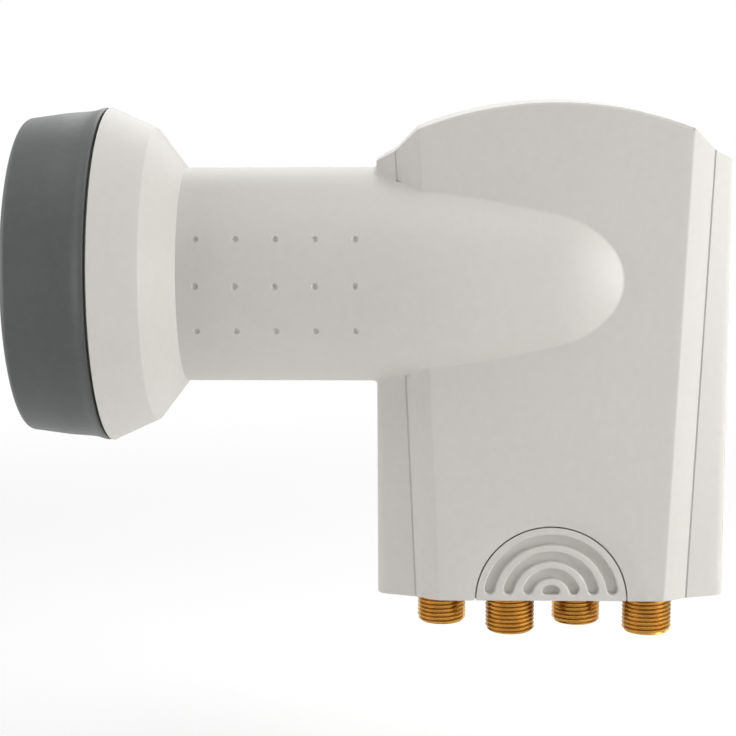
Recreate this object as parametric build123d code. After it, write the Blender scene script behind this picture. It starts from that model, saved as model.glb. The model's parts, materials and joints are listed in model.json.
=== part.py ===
from build123d import *
import os
from math import acos, asin, atan2, cos, degrees, radians, sin, sqrt, tan

# Satellite LNB with four outputs and a slide-down weather shield, in millimetres.
# X runs along the clamp neck from the feed cap to the housing, Z is up, and the moulded
# housing is split at Y = 0. The origin is on the neck's axis, in the middle of the neck.

# Clamp neck and wall of the moulding
neck_diameter = 40.0
neck_length = 35.6
shell_wall = 1.4

# Rows of small dimples that show the clamp zone
dimple_columns = 5
dimple_rows = 3
dimple_pitch = 7.16
dimple_row_angle = 24.5
dimple_diameter = 1.3
dimple_depth = 0.5

# Flared collar: a steep cone to the ridge, then a slim cone to the mouth
ridge_diameter = 54.8
ridge_run = 5.6
mouth_diameter = 62.5
mouth_run = 8.4
ridge_edge_radius = 0.6

# Feed cap, which slips over a spigot on the collar
cap_gap = 0.5
cap_length = 15.25
cap_front_diameter = 58.4
cap_wall = 1.5
cap_edge_radius = 1.3
cap_rim_radius = 0.4
cap_fit = 0.1
spigot_length = 3.0
spigot_wall = 1.2

# F-type ports: 3/8-32 barrels in a zigzag row
port_count = 4
port_pitch = 13.0
port_stagger = 3.2
port_shift = -0.9
barrel_diameter = 9.3
barrel_length = 7.55
barrel_bore = 6.2
barrel_chamfer = 0.5
nut_wall = 0.85
nut_room = 0.4

# Weather shield, a sleeve between the moulding and the bulkhead
shield_wall = 0.8
shield_gap = 0.2
shield_height = 35.0
shield_travel = 22.0
stop_height = 0.5
stop_width = 3.4
stop_length = 2.5
stop_edge = 4.4
stop_slack = 0.25

# Finger grip of the shield and the scoop round it
grip_radius = 14.1
grip_gap = 0.3
scoop_width = 3.5
scoop_depth = 0.4
rib_border = 1.5
rib_pitch = 3.55
groove_count = 3
groove_width = 2.0
groove_depth = 1.4
groove_foot = 1.1
groove_rise = 0.34
groove_edge_radius = 0.3
groove_floor_radius = 0.5
thumb_radius = 1.9
thumb_corner = 0.7

# Housing, from its rim below the neck's axis to its arched crown
rim_drop = 60.1
rim_edge_radius = 0.25
shoulder_rise = 1.55
crown_radius = 68.0
side_room = 13.0
panel_room = 1.4
panel_lean = 2.5
bevel_run = 4.4
bevel_drop = 2.7
band_drop = 2.3
shoulder_drop = 4.1
corner_drop = 1.9
corner_radius = 2.2
panel_edge_radius = 1.0
crown_edge_radius = 0.8
neck_root_radius = 0.9
touching = 0.01

# Shadow line between bevel and side band: a long slope off the bevel, ended by a short wall
line_slope = 1.2
line_wall = 0.2
line_cut = 0.24
line_cover = 0.06

# Bullet-shaped bulge that carries the neck on over the panel
bulge_radius = 142.0
bulge_taper = 8.84
bulge_flank = 11.1
nose_radius = 27.7

# Die-cast horn, waveguide, circuit tray and bulkhead
guide_bore = 18.4
guide_wall = 1.8
guide_reach = 38.2
horn_room = 2.4
choke_width = 2.6
choke_depth = 6.0
choke_wall = 1.6
seal_offset = 2.6
seal_section = 2.65
seal_slack = 0.05
bulkhead_gap = 0.4
bulkhead_lift = 0.65
bulkhead_thickness = 3.6
washer_thickness = 0.8
washer_setback = 0.2
barrel_spigot = 7.8
press_gap = 0.05
tray_half_width = 24.8
tray_floor = 1.2
tray_rear = 5.6
tray_roof = 2.0
gasket_thickness = 0.4
lid_thickness = 1.2
lid_gap = 0.3
screw_diameter = 1.6
screw_head_diameter = 3.0
screw_margin = 0.1
screw_length = 5.0
screw_rows = 3

# Ribs of the moulding that hold the casting
rib_thickness = 1.6
rib_gap = 0.1
neck_rib_pitch = 12.0
panel_rib_offset = 12.0
panel_rib_height = 9.0

# Circuit board and what is on it
board_thickness = 1.6
board_gap = 0.3
board_lift = 1.3
post_diameter = 3.0
post_margin = 6.0
chip_size = 7.0
chip_height = 1.0
matrix_size = 9.0
crystal_length = 5.0
crystal_width = 3.2
regulator_length = 4.0
regulator_width = 2.6
regulator_count = 4
regulator_pitch = 8.0
probe_diameter = 0.9
probe_pitch = 8.0
probe_short = 8.0
probe_overlap = 3.0
probe_depth = 5.2
bush_diameter = 2.9
wire_bend = 1.2
contact_diameter = 2.0
contact_bore = 1.0
contact_grip = 4.5
insulator_recess = 0.5
tail_diameter = 0.8
tail_rise = 3.0

# Places that follow from the sizes above
neck_radius = neck_diameter / 2
neck_front = -neck_length / 2
neck_back = neck_length / 2
ridge_x = neck_front - ridge_run
ridge_radius = ridge_diameter / 2
mouth_x = ridge_x - mouth_run
mouth_radius = mouth_diameter / 2
cap_back = mouth_x - cap_gap
cap_front = cap_back - cap_length
cap_front_radius = cap_front_diameter / 2
steep_angle = atan2(ridge_radius - neck_radius, ridge_run)
slim_angle = atan2(mouth_radius - ridge_radius, mouth_run)
barrel_radius = barrel_diameter / 2
row_half = port_pitch * (port_count - 1) / 2
half_width = row_half + side_room
housing_x = neck_back + half_width
rim_z = -rim_drop
shield_inset = shell_wall + shield_gap
bay_inset = shield_inset + shield_wall
bulkhead_inset = bay_inset + bulkhead_gap
panel_depth = port_stagger + barrel_radius + nut_wall + nut_room + bay_inset
line_depth = panel_depth - bevel_drop
side_depth = line_depth - band_drop
panel_half_rim = row_half + panel_room
corner_z = neck_radius + shoulder_rise
shoulder_z = corner_z + corner_drop
crown_end_z = shoulder_z + shoulder_drop
guide_radius = guide_bore / 2
guide_outer = guide_radius + guide_wall
guide_end = neck_back + guide_reach
horn_mouth = cap_front + cap_wall + horn_room
seal_x = mouth_x - spigot_length - seal_offset
bulkhead_bottom = rim_z + bulkhead_lift
bulkhead_top = bulkhead_bottom + bulkhead_thickness
barrel_top = bulkhead_bottom - washer_thickness
barrel_tip = barrel_top - barrel_length
shield_top = rim_z + shield_height
tray_top = -guide_radius
pocket_top = -guide_outer - tray_roof
tray_wall = screw_head_diameter + 2 * screw_margin
pocket_half_width = tray_half_width - tray_wall
pocket_floor = tray_rear - tray_floor
lid_front = -tray_rear
lid_back = lid_front + lid_thickness
tray_front = lid_back + gasket_thickness
cap_slope = (mouth_radius - cap_front_radius) / cap_length
seal_room = seal_section + 2 * seal_slack
choke_outer = mouth_radius - cap_slope * (cap_back - seal_x) - cap_wall - seal_room
horn_radius = choke_outer - 2 * choke_wall - choke_width
upright = (Align.CENTER, Align.CENTER, Align.MIN)
ports = []
for port in range(port_count):
    port_side = 1 if port % 2 == 0 else -1
    ports.append((housing_x + port_shift - row_half + port * port_pitch, port_side * port_stagger))


def panel_half(z):
    """Half-width of the flat panel at height z."""
    return panel_half_rim + tan(radians(panel_lean)) * (z - rim_z)


crown_half = panel_half(crown_end_z)
crown_z = crown_end_z + crown_radius - sqrt(crown_radius**2 - crown_half**2)


def section(z, inset):
    """Cross-section of the housing at height z, drawn inset from its outside."""
    panel = panel_half(z)
    quarter = [(half_width, side_depth), (panel + bevel_run, line_depth), (panel, panel_depth)]
    upper = quarter + [(-x, y) for x, y in reversed(quarter)]
    lower = [(-x, -y) for x, y in upper]
    face = make_face(Polyline(*upper, *lower, close=True))
    if inset > 0:
        face = offset(face, amount=-inset, kind=Kind.INTERSECTION)
    return Pos(housing_x, 0, z) * face


def front_outline():
    """Front view of the housing: rim, upright sides, sloped shoulders and arched crown."""
    shoulder = panel_half(shoulder_z) + bevel_run
    right = [(crown_half, crown_end_z), (shoulder, shoulder_z), (half_width, corner_z), (half_width, rim_z)]
    left = [(-x, z) for x, z in reversed(right)]
    crown = ThreePointArc(left[-1], (0, crown_z), right[0])
    lines = Polyline(*right, *left)
    return Plane.XZ * Pos(housing_x, 0) * make_face([crown, lines])


def inner_corner(x, radius, angle_before, angle_after):
    """Inner wall point behind an outer corner between two cones."""
    middle = (angle_before + angle_after) / 2
    reach = shell_wall / cos((angle_after - angle_before) / 2)
    return (x - reach * sin(middle), radius - reach * cos(middle))


def turned(*edges):
    """Solid of revolution about the neck's axis; edges are drawn as (x, radius)."""
    return revolve(make_face(list(edges)), Axis.X)


def bullet(inset, front):
    """Neck and bulge as one turned solid, from the given front to the tip of the nose."""
    radius = neck_radius - inset
    lead = JernArc((neck_back, radius), (1, 0), bulge_radius - inset, -bulge_taper)
    flank = PolarLine(lead @ 1, bulge_flank, direction=lead % 1)
    end_cosine = cos(radians(bulge_taper)) - (flank @ 1).Y / (nose_radius - inset)
    nose = JernArc(flank @ 1, flank % 1, nose_radius - inset, bulge_taper - degrees(acos(end_cosine)))
    rest = Polyline(nose @ 1, (front, 0), (front, radius), (neck_back, radius))
    return turned(lead, flank, nose, rest)


def half_ring(x, outer_radius, inner_radius):
    """Half-round rib of the front half of the moulding, centred on x."""
    ring = Circle(outer_radius) - Circle(inner_radius)
    rib = Plane.YZ.offset(x - rib_thickness / 2) * extrude(ring, rib_thickness)
    return split(rib, Plane.XZ, keep=Keep.TOP)


def cap_radius(x):
    """Outer radius of the feed cap at x."""
    return mouth_radius - cap_slope * (cap_back - x)


def prism(inset, bottom, top):
    """Straight column with the rim's cross-section."""
    return extrude(Pos(0, 0, bottom - rim_z) * section(rim_z, inset), top - bottom)


def front_slab(sketch, depth_from, depth_to):
    """Sketch of the front view, made solid between two depths in front of the middle plane."""
    return extrude(Plane.XZ.offset(depth_from) * sketch, depth_to - depth_from)


def is_upright(edge):
    """True for an edge that runs from the rim to the crown."""
    return abs((edge @ 1 - edge @ 0).Z) > rim_drop


def housing_form():
    """Outside of the housing: tapering bevels, rounded corners and an arched crown."""
    block = loft([section(rim_z, 0), section(crown_z, 0)], ruled=True)
    by_reach = block.edges().filter_by(is_upright).group_by(lambda edge: abs((edge @ 0.5).X - housing_x))
    block = fillet(by_reach[-1], corner_radius)
    by_depth = block.edges().filter_by(is_upright).group_by(lambda edge: abs((edge @ 0.5).Y))
    block = fillet(by_depth[-1], panel_edge_radius)
    block = fillet(block.faces().sort_by(Axis.Z)[0].outer_wire().edges(), rim_edge_radius)
    slab = extrude(front_outline(), panel_depth, both=True)
    slab = fillet(slab.edges().filter_by(GeomType.CIRCLE), crown_edge_radius)
    return block & slab


def housing_hollow():
    """Inside of the housing, open at the rim."""
    block = loft([section(rim_z, shell_wall), section(crown_z, shell_wall)], ruled=True)
    outline = offset(front_outline(), amount=-shell_wall, kind=Kind.INTERSECTION)
    opened = prism(shell_wall, rim_z, rim_z + 2 * shell_wall)
    return (block & extrude(outline, panel_depth, both=True)) + opened


def is_neck_root(edge):
    """True for an edge where the neck meets the side of the housing."""
    far_end = max(abs((edge @ place).X - neck_back) for place in (0, 1))
    return far_end < touching and abs((edge @ 0.5).Y) < side_depth


def collar_wall():
    """Wall of the flared collar with the spigot for the feed cap."""
    neck_inside = inner_corner(neck_front, neck_radius, 0, steep_angle)
    ridge_inside = inner_corner(ridge_x, ridge_radius, steep_angle, slim_angle)
    spigot_root = cap_radius(cap_back) - cap_wall - cap_fit
    spigot_tip_x = mouth_x - spigot_length
    spigot_tip = cap_radius(spigot_tip_x) - cap_wall - cap_fit
    outline = Polyline(
        (neck_back, neck_radius),
        (neck_front, neck_radius),
        (ridge_x, ridge_radius),
        (mouth_x, mouth_radius),
        (mouth_x, spigot_root),
        (spigot_tip_x, spigot_tip),
        (spigot_tip_x, spigot_tip - spigot_wall),
        (mouth_x, spigot_root - spigot_wall),
        ridge_inside,
        neck_inside,
        (neck_back, neck_radius - shell_wall),
        close=True,
    )
    wall = turned(outline)
    rings = wall.edges().filter_by(GeomType.CIRCLE)
    ridge = rings.filter_by(lambda ring: abs(ring.radius - ridge_radius) < touching)
    return fillet(ridge, ridge_edge_radius)


def side_lines():
    """Shadow lines between the bevels and the side bands, on the front half."""
    notch = Polygon((line_slope, line_cover), (0, line_cut), (-line_wall, 0), (0, -line_cut), align=None)
    notch = Rot(0, 0, 180 + degrees(atan2(bevel_drop, bevel_run))) * notch
    ends = []
    for z in (rim_z, crown_z):
        ends.append(Pos(housing_x + panel_half(z) + bevel_run, -line_depth, z) * notch)
    right = loft(ends, ruled=True)
    return [right, mirror(right, about=Plane.YZ.offset(housing_x))]


def dimples():
    """Spherical dimples of the clamp zone, on the front half of the neck."""
    ball_radius = (dimple_diameter**2 / 4 + dimple_depth**2) / (2 * dimple_depth)
    ball = Pos(0, -(neck_radius + ball_radius - dimple_depth), 0) * Sphere(ball_radius)
    balls = []
    for step in range(dimple_columns):
        x = (step - (dimple_columns - 1) / 2) * dimple_pitch
        for row in range(dimple_rows):
            angle = (row - (dimple_rows - 1) / 2) * dimple_row_angle
            balls.append(Pos(x, 0, 0) * Rot(angle, 0, 0) * ball)
    return balls


def scoop():
    """Finger scoop in the panel round the grip, with the arched opening for the grip."""
    opening = grip_radius + grip_gap / 2
    bowl = Cone(opening, opening + scoop_width, scoop_depth, align=upright)
    hole = Cylinder(opening, 2 * shell_wall, align=(Align.CENTER, Align.CENTER, Align.MAX))
    place = Plane((housing_x, -panel_depth + scoop_depth, rim_z), x_dir=(1, 0, 0), z_dir=(0, -1, 0))
    return place * (bowl + hole)


def stop_places():
    """Distances of the stops from the housing's middle."""
    reach = panel_half_rim - stop_edge
    return (-reach, reach)


def stop_slots():
    """Blind slots in the panel's inner face, where the shield's stops run."""
    top = shield_top + stop_length
    bottom = shield_top - stop_length - shield_travel - stop_slack
    slot = Rectangle(stop_width + 2 * stop_slack, top - bottom, align=(Align.CENTER, Align.MIN))
    inside = panel_depth - shell_wall
    reach = stop_height - shield_gap + stop_slack
    slots = []
    for place in stop_places():
        slots.append(front_slab(Pos(housing_x + place, bottom) * slot, inside - shield_gap, inside + reach))
    return slots


def panel_ribs():
    """Ribs behind the panel that hold the circuit tray, above the shield."""
    rib = Rectangle(rib_thickness, panel_rib_height, align=(Align.CENTER, Align.MIN))
    ribs = []
    for side in (-1, 1):
        place = Pos(housing_x + side * panel_rib_offset, shield_top + stop_length)
        ribs.append(front_slab(place * rib, tray_rear + rib_gap, panel_depth - shell_wall / 2))
    return ribs


def neck_ribs():
    """Half rings in the neck that hold the waveguide, and one at the mouth for the horn."""
    ribs = []
    for step in (-1, 0, 1):
        ribs.append(half_ring(step * neck_rib_pitch, neck_radius - shell_wall / 2, guide_outer + rib_gap))
    spigot_middle = cap_radius(cap_back) - cap_wall - cap_fit - spigot_wall / 2
    ribs.append(half_ring(mouth_x - rib_thickness / 2, spigot_middle, choke_outer + rib_gap))
    return ribs


def make_front_shell():
    """Front half of the moulding, with its ribs, dimples, side lines and grip opening."""
    body = housing_form() + bullet(0, neck_front)
    roots = body.edges().filter_by(GeomType.CIRCLE).filter_by(is_neck_root)
    body = fillet(roots, neck_root_radius) + collar_wall()
    body -= housing_hollow()
    body -= bullet(shell_wall, ridge_x)
    body = split(body, Plane.XZ, keep=Keep.TOP)
    body -= [scoop(), *side_lines(), *dimples(), *stop_slots()]
    return body + [*neck_ribs(), *panel_ribs()]


def make_feed_cap():
    """Cap over the horn: a tapered cup with a rounded front edge."""
    inside_x = cap_front + cap_wall
    outline = Polyline(
        (cap_back, mouth_radius),
        (cap_front, cap_front_radius),
        (cap_front, 0),
        (inside_x, 0),
        (inside_x, cap_radius(inside_x) - cap_wall),
        (cap_back, mouth_radius - cap_wall),
        close=True,
    )
    cup = turned(outline)
    front_edge = cup.edges().group_by(Axis.X)[0].sort_by(SortBy.RADIUS)[-1]
    cup = fillet(front_edge, cap_edge_radius)
    rim_edge = cup.edges().group_by(Axis.X)[-1].sort_by(SortBy.RADIUS)[-1]
    return fillet(rim_edge, cap_rim_radius)


def make_cap_seal():
    """O-ring between the horn's rim and the inside of the cap."""
    return Plane.YZ.offset(seal_x) * Torus(choke_outer + seal_room / 2, seal_section / 2)


def horn_and_guide():
    """Feed horn with its choke ring, and the round waveguide closed at its far end."""
    lip_radius = horn_radius + choke_wall
    choke_floor = horn_mouth + choke_depth
    flare_angle = atan2(horn_radius - guide_radius, neck_front - horn_mouth)
    flare_outer = guide_outer + (neck_front - mouth_x) * tan(flare_angle)
    outline = Polyline(
        (guide_end, 0),
        (guide_end, guide_outer),
        (neck_front, guide_outer),
        (mouth_x, flare_outer),
        (mouth_x, choke_outer),
        (horn_mouth, choke_outer),
        (horn_mouth, choke_outer - choke_wall),
        (choke_floor, choke_outer - choke_wall),
        (choke_floor, lip_radius),
        (horn_mouth, lip_radius),
        (horn_mouth, horn_radius),
        (neck_front, guide_radius),
        (guide_end - guide_wall, guide_radius),
        (guide_end - guide_wall, 0),
        close=True,
    )
    return turned(outline)


def screw_places():
    """Places of the lid's screws in the front view."""
    low = bulkhead_top + lid_gap + screw_head_diameter
    high = pocket_top
    places = []
    for side in (-1, 1):
        for row in range(screw_rows):
            z = low + (high - low) * row / (screw_rows - 1)
            places.append(Pos(housing_x + side * (tray_half_width - tray_wall / 2), z))
    return places


def screws(gap):
    """Countersunk lid screws, flush with the lid; gap widens them into their holes."""
    head = screw_head_diameter / 2 + gap
    shank = screw_diameter / 2 + gap
    cone_end = (shank, head - shank)
    outline = Polyline((0, 0), (head, 0), cone_end, (shank, screw_length), (0, screw_length), close=True)
    screw = revolve(make_face(outline), Axis.Y)
    return [Plane.XZ.offset(tray_rear) * place * Rot(-90, 0, 0) * screw for place in screw_places()]


def tray_face(half_width_of_face, bottom, top):
    """Rectangle of the circuit tray in the front view."""
    return Pos(housing_x, (bottom + top) / 2) * Rectangle(2 * half_width_of_face, top - bottom)


def column(diameter, bottom, top):
    """Upright cylinder on the Z axis."""
    return Pos(0, 0, bottom) * Cylinder(diameter / 2, top - bottom, align=upright)


def at_ports(solid):
    """The solid repeated on each port's axis."""
    return [Pos(x, y, 0) * solid for x, y in ports]


def probe_axes():
    """Places of the two probes, on the board's front face."""
    y = -(board_thickness + probe_diameter) / 2
    last = guide_end - guide_wall - probe_short
    return [(last - probe_pitch, y), (last, y)]


def at_probes(solid):
    """The solid repeated on each probe's axis."""
    return [Pos(x, y, 0) * solid for x, y in probe_axes()]


def make_horn_casting():
    """Die casting: horn, waveguide, circuit tray with board posts, and connector bulkhead."""
    tray = front_slab(tray_face(tray_half_width, bulkhead_top, tray_top), -tray_rear, -tray_front)
    pocket = front_slab(tray_face(pocket_half_width, bulkhead_top, pocket_top), -pocket_floor, -tray_front)
    bulkhead = prism(bulkhead_inset, bulkhead_bottom, bulkhead_top)
    posts = []
    for side in (-1, 1):
        for z in (bulkhead_top + post_margin, pocket_top - post_margin):
            place = Pos(housing_x + side * (pocket_half_width - post_diameter), z)
            posts.append(front_slab(place * Circle(post_diameter / 2), -pocket_floor, -board_thickness / 2))
    casting = horn_and_guide() + bulkhead + (tray - pocket) + posts
    casting -= at_ports(column(barrel_spigot + 2 * press_gap, bulkhead_bottom, bulkhead_top))
    casting -= at_probes(column(bush_diameter + 2 * press_gap, pocket_top, 0))
    return casting - screws(press_gap)


def lid_face():
    """Outline of the tray's lid in the front view."""
    return tray_face(tray_half_width, bulkhead_top + lid_gap, -guide_outer - lid_gap)


def make_tray_lid():
    """Flat lid of the circuit tray, with countersunk holes."""
    return front_slab(lid_face(), -lid_back, -lid_front) - screws(press_gap)


def make_lid_gasket():
    """Gasket between tray and lid, with the tray's opening."""
    opening = tray_face(pocket_half_width, bulkhead_top + lid_gap + tray_wall / 2, pocket_top)
    return front_slab(lid_face() - opening, -tray_front, -lid_back) - screws(press_gap)


def board_piece(length, height, across, z):
    """Low block on the board's front face, across from the housing's middle, at height z."""
    place = Pos(housing_x + across, z) * Rectangle(length, height)
    return front_slab(place, board_thickness / 2, board_thickness / 2 + chip_height)


def bent_wire(diameter, *points):
    """Round wire along straight runs with a bend at each inner point."""
    path = FilletPolyline(*points, radius=wire_bend)
    return sweep(Plane(path @ 0, z_dir=path % 0) * Circle(diameter / 2), path=path)


def make_bush():
    """Insulating bush round a probe, in the roof of the tray."""
    body = column(bush_diameter, pocket_top, -guide_radius - press_gap)
    return body - column(probe_diameter + 2 * press_gap, pocket_top, -guide_radius)


def make_probes():
    """Straight and bent antenna pins, from the board into the waveguide."""
    (straight_x, y), (bent_x, _) = probe_axes()
    foot = pocket_top - probe_overlap
    straight = Pos(straight_x, y, 0) * column(probe_diameter, foot, probe_depth - guide_radius)
    bent = bent_wire(probe_diameter, (bent_x, y, foot), (bent_x, y, 0), (bent_x, y + probe_depth, 0))
    return straight, bent


def make_barrel():
    """Barrel of an F-type port, with a spigot for the bulkhead."""
    thread = column(barrel_diameter, barrel_tip, barrel_top)
    thread = chamfer(thread.edges().group_by(Axis.Z)[0], barrel_chamfer)
    spigot = column(barrel_spigot, barrel_top, bulkhead_top)
    return thread + spigot - column(barrel_bore, barrel_tip, bulkhead_top)


def make_insulator():
    """Insulator of a port, a little behind the barrel's tip."""
    foot = barrel_tip + insulator_recess
    body = column(barrel_bore - 2 * press_gap, foot, bulkhead_top)
    return body - column(contact_diameter + 2 * press_gap, foot, bulkhead_top)


def make_contact(x, y):
    """Spring contact of a port with its tail bent on to the board."""
    foot = barrel_tip + insulator_recess
    tail_z = bulkhead_top + tail_rise
    board_y = board_thickness / 2 if y > 0 else -board_thickness / 2
    sleeve = column(contact_diameter, foot, bulkhead_top) - column(contact_bore, foot, foot + contact_grip)
    tail = bent_wire(tail_diameter, (x, y, bulkhead_top), (x, y, tail_z), (x, board_y, tail_z))
    return Pos(x, y, 0) * sleeve + tail


def make_washer():
    """Sealing washer between a barrel and the bulkhead."""
    ring = column(barrel_diameter - 2 * washer_setback, barrel_top, bulkhead_bottom)
    return ring - column(barrel_spigot + 2 * press_gap, barrel_top, bulkhead_bottom)


def grip_grooves():
    """Arched finger grooves and the small half-round recess at their centre, in the front view."""
    grooves = []
    end_height = groove_foot + groove_width / 2
    for step in range(groove_count):
        radius = grip_radius - rib_border - groove_width / 2 - step * rib_pitch
        rise = step * groove_rise
        start = degrees(asin((end_height - rise) / radius))
        grooves.append(SlotArc(CenterArc((0, rise), radius, start, 180 - 2 * start), groove_width))
    above = Rectangle(2 * thumb_radius, thumb_radius, align=(Align.CENTER, Align.MIN))
    recess = above & Circle(thumb_radius)
    grooves.append(Pos(0, groove_foot) * fillet(recess.vertices(), thumb_corner))
    return grooves


def shield_grip():
    """Finger grip on the front of the shield, with its grooves cut in."""
    pad_face = panel_depth - scoop_depth
    above_rim = Rectangle(2 * grip_radius, grip_radius, align=(Align.CENTER, Align.MIN))
    place = Pos(housing_x, rim_z)
    half_disc = place * (Circle(grip_radius - grip_gap / 2) & above_rim)
    grip = front_slab(half_disc, panel_depth - bay_inset, pad_face)
    for groove in grip_grooves():
        grip -= front_slab(place * groove, pad_face - groove_depth, pad_face)
    floors = grip.faces().filter_by(Axis.Y).group_by(Axis.Y)[1]
    grip = fillet(floors.edges(), groove_floor_radius)
    pad = grip.faces().sort_by(Axis.Y)[0]
    return fillet(pad.inner_wires().edges(), groove_edge_radius)


def make_weather_shield():
    """Sliding sleeve with a finger grip and two stops on each broad side."""
    sleeve = prism(shield_inset, rim_z, shield_top) - prism(bay_inset, rim_z, shield_top)
    stop = Rectangle(stop_width, stop_length, align=(Align.CENTER, Align.MAX))
    face = panel_depth - shield_inset
    additions = [shield_grip()]
    for place in stop_places():
        sketch = Pos(housing_x + place, shield_top) * stop
        additions.append(front_slab(sketch, face - shield_wall / 2, face + stop_height))
    return sleeve + additions + [mirror(piece, about=Plane.XZ) for piece in additions]


def make_board():
    """Circuit board and the blocks soldered to its front face, by node name."""
    middle = (bulkhead_top + pocket_top) / 2
    upper = (middle + pocket_top) / 2
    lower = (middle + bulkhead_top) / 2
    outline = tray_face(pocket_half_width - board_gap, bulkhead_top + board_lift, pocket_top - board_gap)
    regulators = []
    for step in range(regulator_count):
        across = (step - (regulator_count - 1) / 2) * regulator_pitch
        regulators.append(board_piece(regulator_length, regulator_width, across, middle))
    return {
        "circuit_board": front_slab(outline, -board_thickness / 2, board_thickness / 2),
        "receiver_chip": board_piece(chip_size, chip_size, 0, upper),
        "matrix_chip": board_piece(matrix_size, matrix_size, 0, lower),
        "reference_crystal": board_piece(crystal_length, crystal_width, chip_size + crystal_length, upper),
        "voltage_regulators": Compound(children=regulators),
    }


front_shell = make_front_shell()
nodes = {
    "front_shell": front_shell,
    "rear_shell": mirror(front_shell, about=Plane.XZ),
    "feed_cap": make_feed_cap(),
    "cap_seal": make_cap_seal(),
    "horn_casting": make_horn_casting(),
    "tray_lid": make_tray_lid(),
    "lid_gasket": make_lid_gasket(),
    "lid_screws": Compound(children=screws(0)),
    "weather_shield": make_weather_shield(),
    "connector_seals": Compound(children=at_ports(make_washer())),
    "probe_bushes": Compound(children=at_probes(make_bush())),
}
nodes.update(make_board())
nodes["straight_probe"], nodes["bent_probe"] = make_probes()
barrel = make_barrel()
insulator = make_insulator()
for number, (port_x, port_y) in enumerate(ports, start=1):
    nodes[f"f_barrel_{number}"] = Pos(port_x, port_y, 0) * barrel
    nodes[f"f_insulator_{number}"] = Pos(port_x, port_y, 0) * insulator
    nodes[f"f_contact_{number}"] = make_contact(port_x, port_y)

os.makedirs("parts", exist_ok=True)
for name, solid in nodes.items():
    export_step(solid, f"parts/{name}.step")
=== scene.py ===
import json
import math

import bmesh
import bpy
from mathutils import Matrix, Vector


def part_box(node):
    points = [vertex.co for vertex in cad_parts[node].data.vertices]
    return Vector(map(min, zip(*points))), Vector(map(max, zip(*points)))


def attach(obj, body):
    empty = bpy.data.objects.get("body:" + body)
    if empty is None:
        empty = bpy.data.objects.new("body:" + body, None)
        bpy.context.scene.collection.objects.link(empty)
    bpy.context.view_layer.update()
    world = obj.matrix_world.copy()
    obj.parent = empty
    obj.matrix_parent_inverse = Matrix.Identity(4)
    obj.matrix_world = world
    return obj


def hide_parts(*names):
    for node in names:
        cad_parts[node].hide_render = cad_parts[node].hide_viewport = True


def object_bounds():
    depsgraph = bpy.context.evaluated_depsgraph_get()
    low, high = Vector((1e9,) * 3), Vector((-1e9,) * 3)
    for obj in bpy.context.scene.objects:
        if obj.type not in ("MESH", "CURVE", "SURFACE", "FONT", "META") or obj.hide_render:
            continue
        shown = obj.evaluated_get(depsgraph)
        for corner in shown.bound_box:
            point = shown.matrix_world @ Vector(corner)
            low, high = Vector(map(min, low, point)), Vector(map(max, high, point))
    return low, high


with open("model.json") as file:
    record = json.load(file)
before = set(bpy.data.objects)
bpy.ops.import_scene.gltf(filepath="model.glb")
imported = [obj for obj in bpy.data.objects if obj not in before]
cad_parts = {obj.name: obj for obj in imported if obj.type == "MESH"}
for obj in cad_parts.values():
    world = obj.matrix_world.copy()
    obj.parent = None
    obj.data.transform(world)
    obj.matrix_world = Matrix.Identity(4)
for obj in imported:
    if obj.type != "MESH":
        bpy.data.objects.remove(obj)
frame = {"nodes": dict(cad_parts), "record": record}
cad_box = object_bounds()

MM = 0.001
weld_distance = 0.002 * MM
cut_tolerance = 0.0001 * MM


# Colours and nodes

def linear(colour):
    """An sRGB hex value as linear red, green, blue and alpha."""
    parts = [int(colour[place:place + 2], 16) / 255 for place in (1, 3, 5)]
    return [p / 12.92 if p <= 0.04045 else ((p + 0.055) / 1.055) ** 2.4 for p in parts] + [1.0]


def add(tree, kind, inputs=None, **settings):
    """Add a node: settings are its own properties, inputs its sockets' values or what they link to."""
    made = tree.nodes.new(kind)
    for name, value in settings.items():
        setattr(made, name, value)
    for socket, value in (inputs or {}).items():
        if isinstance(value, bpy.types.NodeSocket):
            tree.links.new(value, made.inputs[socket])
        else:
            made.inputs[socket].default_value = value
    return made


def new_material(name):
    """An empty node material and its tree."""
    material = bpy.data.materials.new(name)
    material.use_nodes = True
    material.node_tree.nodes.clear()
    return material, material.node_tree


def per_metre(size_mm):
    """Texture scale whose features are about size_mm across."""
    return 1 / (size_mm * MM)


# Widths of the patches of tone in millimetres, and how far the roughness strays
plastic_cloud_mm = 38
plastic_speck_mm = 1.6
plastic_gloss_spread = 0.05
metal_cloud_mm = 3.5
metal_gloss_spread = 0.08


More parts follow.
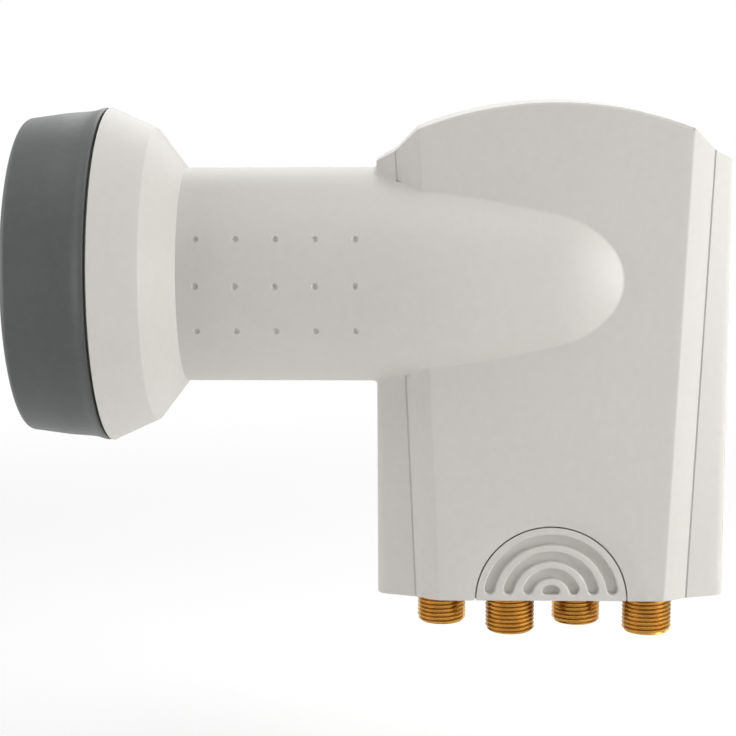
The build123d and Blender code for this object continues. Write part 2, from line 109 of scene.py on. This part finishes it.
def moulded_plastic(name, light, dark, roughness, grain_mm, grain_depth_mm, ior):
    """Injection-moulded plastic from a spark-eroded tool: even colour, satin sheen, fine grain."""
    material, tree = new_material(name)
    place = add(tree, "ShaderNodeTexCoord").outputs["Object"]
    cloud = add(
        tree,
        "ShaderNodeTexNoise",
        {"Vector": place, "Scale": per_metre(plastic_cloud_mm), "Detail": 3.0},
    )
    speck = add(
        tree,
        "ShaderNodeTexNoise",
        {"Vector": place, "Scale": per_metre(plastic_speck_mm), "Detail": 2.0},
    )
    tint = add(tree, "ShaderNodeMath", {0: cloud.outputs["Fac"], 1: speck.outputs["Fac"]}, operation="ADD")
    share = add(
        tree,
        "ShaderNodeMapRange",
        {"Value": tint.outputs[0], "From Min": 0.7, "From Max": 1.3, "To Min": 0.0, "To Max": 1.0},
    )
    # Inputs 6 and 7 of a colour mix are its two colours, and output 2 is the mixed one
    colour = add(
        tree,
        "ShaderNodeMix",
        {0: share.outputs[0], 6: linear(dark), 7: linear(light)},
        data_type="RGBA",
    )
    gloss = add(
        tree,
        "ShaderNodeMapRange",
        {
            "Value": speck.outputs["Fac"],
            "To Min": roughness - plastic_gloss_spread,
            "To Max": roughness + plastic_gloss_spread,
        },
    )
    grain = add(
        tree,
        "ShaderNodeTexNoise",
        {"Vector": place, "Scale": per_metre(grain_mm), "Detail": 2.0, "Roughness": 0.6},
    )
    bump = add(
        tree,
        "ShaderNodeBump",
        {"Height": grain.outputs["Fac"], "Strength": 0.35, "Distance": grain_depth_mm * MM},
    )
    surface = add(
        tree,
        "ShaderNodeBsdfPrincipled",
        {
            "Base Color": colour.outputs[2],
            "Roughness": gloss.outputs[0],
            "Normal": bump.outputs[0],
            "IOR": ior,
        },
    )
    add(tree, "ShaderNodeOutputMaterial", {"Surface": surface.outputs[0]})
    return material


def worked_metal(name, light, dark, roughness, grain_mm, grain_depth_mm, stretch, groove_shade=None):
    """Bare or plated metal: tool marks stretched by the given factors, and a slightly uneven tone.

    A groove shade colour paints shade into the bottom of a thread, where the mesh carries its depth as
    thread_groove.
    """
    material, tree = new_material(name)
    place = add(tree, "ShaderNodeTexCoord").outputs["Object"]
    marks = add(tree, "ShaderNodeMapping", {"Vector": place, "Scale": stretch})
    grain = add(
        tree,
        "ShaderNodeTexNoise",
        {"Vector": marks.outputs[0], "Scale": per_metre(grain_mm), "Detail": 3.0},
    )
    cloud = add(
        tree,
        "ShaderNodeTexNoise",
        {"Vector": place, "Scale": per_metre(metal_cloud_mm), "Detail": 2.0},
    )
    share = add(
        tree,
        "ShaderNodeMapRange",
        {"Value": cloud.outputs["Fac"], "From Min": 0.3, "From Max": 0.7},
    )
    colour = add(
        tree,
        "ShaderNodeMix",
        {0: share.outputs[0], 6: linear(dark), 7: linear(light)},
        data_type="RGBA",
    )
    # Painted shade: the thread's roots take the darker groove colour by depth, standing in for the shade
    # between the flanks
    if groove_shade:
        depth = add(tree, "ShaderNodeAttribute", attribute_name="thread_groove")
        colour = add(
            tree,
            "ShaderNodeMix",
            {0: depth.outputs["Fac"], 6: colour.outputs[2], 7: linear(groove_shade)},
            data_type="RGBA",
        )
    gloss = add(
        tree,
        "ShaderNodeMapRange",
        {
            "Value": grain.outputs["Fac"],
            "To Min": roughness - metal_gloss_spread,
            "To Max": roughness + metal_gloss_spread,
        },
    )
    bump = add(
        tree,
        "ShaderNodeBump",
        {"Height": grain.outputs["Fac"], "Strength": 0.4, "Distance": grain_depth_mm * MM},
    )
    surface = add(
        tree,
        "ShaderNodeBsdfPrincipled",
        {
            "Base Color": colour.outputs[2],
            "Metallic": 1.0,
            "Roughness": gloss.outputs[0],
            "Normal": bump.outputs[0],
        },
    )
    add(tree, "ShaderNodeOutputMaterial", {"Surface": surface.outputs[0]})
    return material


# Finishes

# Each has its lighter and darker tone, roughness, and grain width and depth in millimetres.
# The real grains are about 0.1 mm wide or finer, and are drawn just coarse enough to show.

# ASA moulded in a textured tool: warm light grey, satin, hardly any mottling
housing_asa = moulded_plastic("light_grey_asa_satin", "#d5d2cc", "#d1cec8", 0.46, 0.45, 0.03, 1.52)
# The cap is the same kind of plastic in a neutral dark grey, a little smoother
cap_asa = moulded_plastic("dark_grey_asa_satin", "#4f5251", "#494c4b", 0.42, 0.5, 0.03, 1.52)
# Natural polyethylene, waxy and white
insulator_pe = moulded_plastic("natural_polyethylene", "#eceae3", "#e2dfd6", 0.4, 0.4, 0.01, 1.51)
# Nitrile rubber: nearly black, dull, with the bloom of moulded seals
seal_nitrile = moulded_plastic("black_nitrile_rubber", "#262625", "#181818", 0.7, 0.6, 0.03, 1.52)
# Epoxy moulding compound of the chips: flat charcoal
chip_epoxy = moulded_plastic("black_epoxy_compound", "#2b2c2e", "#202124", 0.55, 0.3, 0.01, 1.55)
# Glass-fibre board under solder mask: deep green with a soft shine
board_green = moulded_plastic("green_solder_mask", "#2f6b3c", "#245530", 0.32, 0.8, 0.01, 1.55)
# Brass turned on a lathe and thinly gold plated: deep brownish gold, with painted shade down in the thread
gold_brass = worked_metal(
    "gold_plated_turned_brass",
    "#e0b45c",
    "#bb8a3a",
    0.28,
    0.25,
    0.008,
    (0.2, 0.2, 2.0),
    # Colour of the painted shade in the thread's roots
    groove_shade="#b28643",
)
# The same plating on drawn wire pins: brighter, with faint upright marks
gold_pin = worked_metal("gold_plated_pin", "#f2c664", "#e2ae48", 0.24, 0.3, 0.004, (1.0, 1.0, 0.2))
# Die-cast aluminium: dull silver with the skin of the die
cast_alloy = worked_metal("die_cast_aluminium", "#c9cbcc", "#b4b7b9", 0.48, 0.5, 0.03, (1.0, 1.0, 1.0))
# Rolled aluminium sheet: brighter silver, with long marks along the roll
sheet_alloy = worked_metal(
    "rolled_aluminium_sheet", "#d3d5d6", "#c4c7c9", 0.36, 0.3, 0.006, (0.05, 1.0, 1.0)
)
# Zinc-plated steel: bluish silver, slightly cloudy
zinc_steel = worked_metal("zinc_plated_steel", "#c3c5c6", "#aeb1b4", 0.34, 0.2, 0.006, (1.0, 1.0, 1.0))
# Nickel-plated can of the crystal: warm silver, with faint upright marks
nickel_can = worked_metal("nickel_plated_can", "#cfcbc3", "#bfbbb2", 0.28, 0.25, 0.004, (1.0, 1.0, 0.2))

finishes = {
    "housing_plastic": housing_asa,
    "cap_plastic": cap_asa,
    "seal_rubber": seal_nitrile,
    "cast_aluminium": cast_alloy,
    "sheet_aluminium": sheet_alloy,
    "screw_steel": zinc_steel,
    "board_laminate": board_green,
    "chip_plastic": chip_epoxy,
    "crystal_can": nickel_can,
    "plated_pin": gold_pin,
    "gold_plated_brass": gold_brass,
    "white_insulator": insulator_pe,
}
slot_of = {part["node"]: part["material_slot"] for part in frame["record"]["subparts"]}
for name, solid in frame["nodes"].items():
    solid.data.materials.clear()
    solid.data.materials.append(finishes[slot_of[name]])


# Making pieces

def finished(name, shape, material, crease_degrees):
    """Turn a bmesh into a smooth-shaded object that is creased at sharp turns only."""
    mesh = bpy.data.meshes.new(name)
    shape.to_mesh(mesh)
    shape.free()
    if "custom_normal" in mesh.attributes:
        mesh.attributes.remove(mesh.attributes["custom_normal"])
    mesh.shade_smooth()
    mesh.set_sharp_from_angle(angle=math.radians(crease_degrees))
    mesh.materials.clear()
    mesh.materials.append(material)
    piece = bpy.data.objects.new(name, mesh)
    bpy.context.scene.collection.objects.link(piece)
    shading = piece.modifiers.new("flat faces stay flat", "WEIGHTED_NORMAL")
    shading.mode = "FACE_AREA"
    shading.keep_sharp = True
    return piece


def dress(piece, node):
    """Let a piece stand for a solid: same body, and the solid hidden."""
    bodies = frame["record"]["behaviour"]["bodies"]
    body = next(body for body, members in bodies.items() if node in members)
    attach(piece, body)
    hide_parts(node)


def cut_across(shape, point, normal, **cleared):
    """Cut a shape through by a plane; clear_inner or clear_outer drops the part on one side."""
    bmesh.ops.bisect_plane(
        shape,
        geom=shape.verts[:] + shape.edges[:] + shape.faces[:],
        dist=cut_tolerance,
        plane_co=point,
        plane_no=normal,
        **cleared,
    )


def welded_copy(node):
    """A copy of a solid's mesh with its loose triangles joined."""
    shape = bmesh.new()
    shape.from_mesh(frame["nodes"][node].data)
    bmesh.ops.remove_doubles(shape, verts=shape.verts, dist=weld_distance)
    return shape


# Seam of the half-shells: its edges are broken, so that the joint shows as a fine line

seam_break = 0.15 * MM


def on_seam(vert):
    """True where a half-shell meets the other one, on the part's middle plane."""
    return abs(vert.co.y) < weld_distance


def break_seam(shape):
    """Bevel the edges that a half-shell turns to the other one."""
    seam_faces = {face for face in shape.faces if all(on_seam(vert) for vert in face.verts)}
    inner = [edge for edge in shape.edges if edge.link_faces and seam_faces.issuperset(edge.link_faces)]
    bmesh.ops.dissolve_edges(shape, edges=inner, use_verts=False)
    border = [edge for edge in shape.edges if all(on_seam(vert) for vert in edge.verts)]
    bmesh.ops.bevel(
        shape,
        geom=border,
        offset=seam_break,
        affect="EDGES",
        segments=1,
        profile=0.5,
        material=-1,
        clamp_overlap=False,
    )


# Lip of the cap: its outside is drawn in a little, which leaves the rear edge standing

lip_edge = 0.5 * MM
lip_width = 2.5 * MM
lip_fade = 6 * MM
lip_height = 0.27 * MM
lip_steps = 14
outward_least = 0.5


def lip_dent(ahead):
    """How far the cap's wall is drawn in at a distance ahead of its rear edge."""
    if ahead < lip_width:
        share = max(ahead - lip_edge, 0) / (lip_width - lip_edge)
        return lip_height * (1 - math.cos(math.pi * share)) / 2
    share = min((ahead - lip_width) / lip_fade, 1)
    return lip_height * (1 + math.cos(math.pi * share)) / 2


def leave_lip(shape):
    """Draw in the cap's outside, steeply by its rear edge and fading out towards the front."""
    rear = max(vert.co.x for vert in shape.verts)
    reach = lip_width + lip_fade - lip_edge
    for step in range(lip_steps + 1):
        ahead = lip_edge + reach * (step / lip_steps) ** 2
        cut_across(shape, (rear - ahead, 0, 0), (1, 0, 0))
    shape.normal_update()
    for vert in shape.verts:
        outwards = Vector((0, vert.co.y, vert.co.z)).normalized()
        if vert.normal.dot(outwards) > outward_least:
            vert.co -= outwards * lip_dent(rear - vert.co.x)


# Mouldings, smoothed up to these creases in degrees

mouldings = {"front_shell": 24, "rear_shell": 24, "feed_cap": 30, "weather_shield": 30}
shaping = {"front_shell": break_seam, "rear_shell": break_seam, "feed_cap": leave_lip}
for node, crease in mouldings.items():
    shape = welded_copy(node)
    if node in shaping:
        shaping[node](shape)
    dress(finished(node + "_moulding", shape, finishes[slot_of[node]], crease), node)


# Threaded barrels: 3/8-32 thread, 0.794 mm pitch, cut as a helix

thread_pitch = 0.794 * MM
thread_depth = 0.49 * MM
thread_crest = thread_pitch / 8
thread_flank = thread_pitch * 5 / 16
thread_crease_degrees = 25
steps_per_turn = 40
lead_in = 0.5 * MM
bore_radius = 3.1 * MM
spigot_radius = 3.9 * MM
start_turn = math.radians(70)


def ring_at(shape, radius, height):
    """A circle of edges round the Z axis."""
    made = bmesh.ops.create_circle(
        shape, segments=steps_per_turn, radius=radius, matrix=Matrix.Translation((0, 0, height))
    )
    return list(dict.fromkeys(edge for vert in made["verts"] for edge in vert.link_edges))


def rim_edges(shape, height):
    """Open edges that lie at one height."""
    level = weld_distance / 2
    edges = [edge for edge in shape.edges if edge.is_boundary]
    return [edge for edge in edges if all(abs(vert.co.z - height) < level for vert in edge.verts)]


def helical_thread(radius, tip, shoulder):
    """Open skin of the thread from tip to shoulder, with its depth kept and its first turn led in."""
    shape = bmesh.new()
    turns = math.ceil((shoulder - tip) / thread_pitch) + 2
    start = tip - thread_pitch
    outline = [
        (radius, 0),
        (radius, thread_crest),
        (radius - thread_depth, thread_crest + thread_flank),
        (radius - thread_depth, thread_pitch - thread_flank),
        (radius, thread_pitch),
    ]
    verts = [shape.verts.new((reach, 0, start + rise)) for reach, rise in outline]
    edges = [shape.edges.new(pair) for pair in zip(verts, verts[1:])]
    bmesh.ops.spin(
        shape,
        geom=verts + edges,
        axis=(0, 0, 1),
        dvec=(0, 0, thread_pitch / steps_per_turn),
        angle=2 * math.pi * turns,
        steps=steps_per_turn * turns,
    )
    bmesh.ops.remove_doubles(shape, verts=shape.verts, dist=weld_distance)
    cut_across(shape, (0, 0, tip), (0, 0, 1), clear_inner=True)
    cut_across(shape, (0, 0, shoulder), (0, 0, 1), clear_outer=True)
    # Depth into the groove, 0 at the crest and 1 at the root: the mask for the painted shade in the thread
    groove_shade = shape.verts.layers.float.new("thread_groove")
    for vert in shape.verts:
        reach = math.hypot(vert.co.x, vert.co.y)
        vert[groove_shade] = (radius - reach) / thread_depth
        allowed = radius - lead_in + (vert.co.z - tip)
        if reach > allowed:
            vert.co.x *= allowed / reach
            vert.co.y *= allowed / reach
    return shape


def threaded_barrel(radius, tip, shoulder, back):
    """Barrel with a real helical thread between tip and shoulder, and a plain spigot behind."""
    shape = helical_thread(radius, tip, shoulder)
    tip_rim = rim_edges(shape, tip)
    shoulder_rim = rim_edges(shape, shoulder)
    loops = (
        tip_rim,
        ring_at(shape, bore_radius, tip),
        ring_at(shape, bore_radius, back),
        ring_at(shape, spigot_radius, back),
        ring_at(shape, spigot_radius, shoulder),
        shoulder_rim,
    )
    for near, far in zip(loops, loops[1:]):
        bmesh.ops.bridge_loops(shape, edges=near + far)
    bmesh.ops.remove_doubles(shape, verts=shape.verts, dist=weld_distance)
    bmesh.ops.recalc_face_normals(shape, faces=shape.faces)
    if shape.calc_volume(signed=True) < 0:
        bmesh.ops.reverse_faces(shape, faces=shape.faces)
    return shape


mount_of = {mount["name"]: mount for mount in frame["record"]["mounts"]}
for number in range(1, 5):
    node = f"f_barrel_{number}"
    low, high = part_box(node)
    port = mount_of[f"f_port_{number}"]
    x, y, z = port["pos_m"]
    shoulder = z + port["dims"]["length_mm"] * MM / 2
    shape = threaded_barrel(port["dims"]["r_mm"] * MM, low.z, shoulder, high.z)
    turn = Matrix.Rotation(start_turn * number, 4, "Z")
    bmesh.ops.transform(shape, matrix=Matrix.Translation((x, y, 0)) @ turn, verts=shape.verts)
    dress(finished(node + "_thread", shape, gold_brass, thread_crease_degrees), node)


# Camera, as fitted to the photograph

lens = bpy.data.cameras.new("photo_lens")
lens.lens = 94.05
lens.sensor_width = 36
lens.clip_start = 0.01
camera = bpy.data.objects.new("photo_camera", lens)
right = Vector((0.99936, 0.03558, -0.00448))
up = Vector((-0.00124, 0.15924, 0.98725))
back = Vector((0.03583, -0.98660, 0.15919))
facing = Matrix((right, up, back)).transposed().to_4x4()
camera.matrix_world = Matrix.Translation((28.95 * MM, -359.64 * MM, 40.13 * MM)) @ facing
bpy.context.scene.collection.objects.link(camera)
bpy.context.scene.camera = camera


# Studio: a white floor that keeps the shadow, white surroundings and soft boxes

ambient_strength = 0.175
floor_drop = 45 * MM
floor_half_size = 4.0
floor_glow = 0.2
fade_start = 0.2
fade_end = 0.5


def seen_directly(tree):
    """1 for rays that show the surroundings: seen, mirrored or through glass; 0 for rays that light."""
    path = add(tree, "ShaderNodeLightPath")
    mirrored = add(
        tree,
        "ShaderNodeMath",
        {0: path.outputs["Is Camera Ray"], 1: path.outputs["Is Glossy Ray"]},
        operation="MAXIMUM",
    )
    seen = add(
        tree,
        "ShaderNodeMath",
        {0: mirrored.outputs[0], 1: path.outputs["Is Transmission Ray"]},
        operation="MAXIMUM",
    )
    return seen.outputs[0]


world = bpy.data.worlds.new("white_surroundings")
world.use_nodes = True
tree = world.node_tree
tree.nodes.clear()
ambient = add(tree, "ShaderNodeBackground", {"Color": linear("#ffffff"), "Strength": ambient_strength})
shown = add(tree, "ShaderNodeBackground", {"Color": linear("#ffffff"), "Strength": 1.0})
either = add(
    tree,
    "ShaderNodeMixShader",
    {0: seen_directly(tree), 1: ambient.outputs[0], 2: shown.outputs[0]},
)
add(tree, "ShaderNodeOutputWorld", {"Surface": either.outputs[0]})
bpy.context.scene.world = world

# Matt white paper: it glows a little where it is seen, fades to white far out, and is clear from below
paper, tree = new_material("white_paper_floor")
sheen = add(tree, "ShaderNodeBsdfDiffuse", {"Color": linear("#f4f4f4")})
glow = add(tree, "ShaderNodeEmission", {"Color": linear("#ffffff"), "Strength": floor_glow})
bright = add(tree, "ShaderNodeAddShader", {0: sheen.outputs[0], 1: glow.outputs[0]})
distance = add(
    tree,
    "ShaderNodeVectorMath",
    {0: add(tree, "ShaderNodeTexCoord").outputs["Object"]},
    operation="LENGTH",
)
far = add(
    tree,
    "ShaderNodeMapRange",
    {"Value": distance.outputs["Value"], "From Min": fade_start, "From Max": fade_end},
    interpolation_type="SMOOTHSTEP",
)
white = add(tree, "ShaderNodeEmission", {"Color": linear("#ffffff"), "Strength": 1.0})
faded = add(tree, "ShaderNodeMixShader", {0: far.outputs[0], 1: bright.outputs[0], 2: white.outputs[0]})
lit = add(tree, "ShaderNodeMixShader", {0: seen_directly(tree), 1: sheen.outputs[0], 2: faded.outputs[0]})
under = add(tree, "ShaderNodeNewGeometry").outputs["Backfacing"]
clear = add(tree, "ShaderNodeBsdfTransparent")
one_sided = add(tree, "ShaderNodeMixShader", {0: under, 1: lit.outputs[0], 2: clear.outputs[0]})
add(tree, "ShaderNodeOutputMaterial", {"Surface": one_sided.outputs[0]})

floor_shape = bmesh.new()
bmesh.ops.create_grid(floor_shape, x_segments=1, y_segments=1, size=floor_half_size)
bmesh.ops.translate(floor_shape, verts=floor_shape.verts, vec=(0, 0, cad_box[0].z - floor_drop))
floor_mesh = bpy.data.meshes.new("floor")
floor_shape.to_mesh(floor_mesh)
floor_shape.free()
floor_mesh.materials.append(paper)
floor = bpy.data.objects.new("floor", floor_mesh)
bpy.context.scene.collection.objects.link(floor)

# Each soft box: name, place and width in millimetres, and power in watts
aim = Vector((20 * MM, 0, -10 * MM))
soft_boxes = (
    ("right_box", (420, -180, 120), 250, 0.70),
    ("right_low_box", (380, -120, -40), 200, 0.44),
    ("right_back_box", (450, 220, 60), 250, 0.31),
    ("front_low_box", (250, -350, -60), 200, 0.07),
    ("top_box", (60, -120, 550), 500, 1.32),
    ("left_high_box", (-350, 0, 200), 300, 0.30),
    ("left_low_box", (-420, -160, -20), 300, 0.85),
    ("back_box", (60, 450, 380), 500, 1.27),
)
for name, where, size, power in soft_boxes:
    light = bpy.data.lights.new(name, "AREA")
    light.shape = "SQUARE"
    light.size = size * MM
    light.energy = power
    lamp = bpy.data.objects.new(name, light)
    lamp.location = Vector(where) * MM
    lamp.rotation_euler = (aim - lamp.location).to_track_quat("-Z", "Y").to_euler()
    bpy.context.scene.collection.objects.link(lamp)

bpy.context.scene.view_settings.view_transform = "Standard"
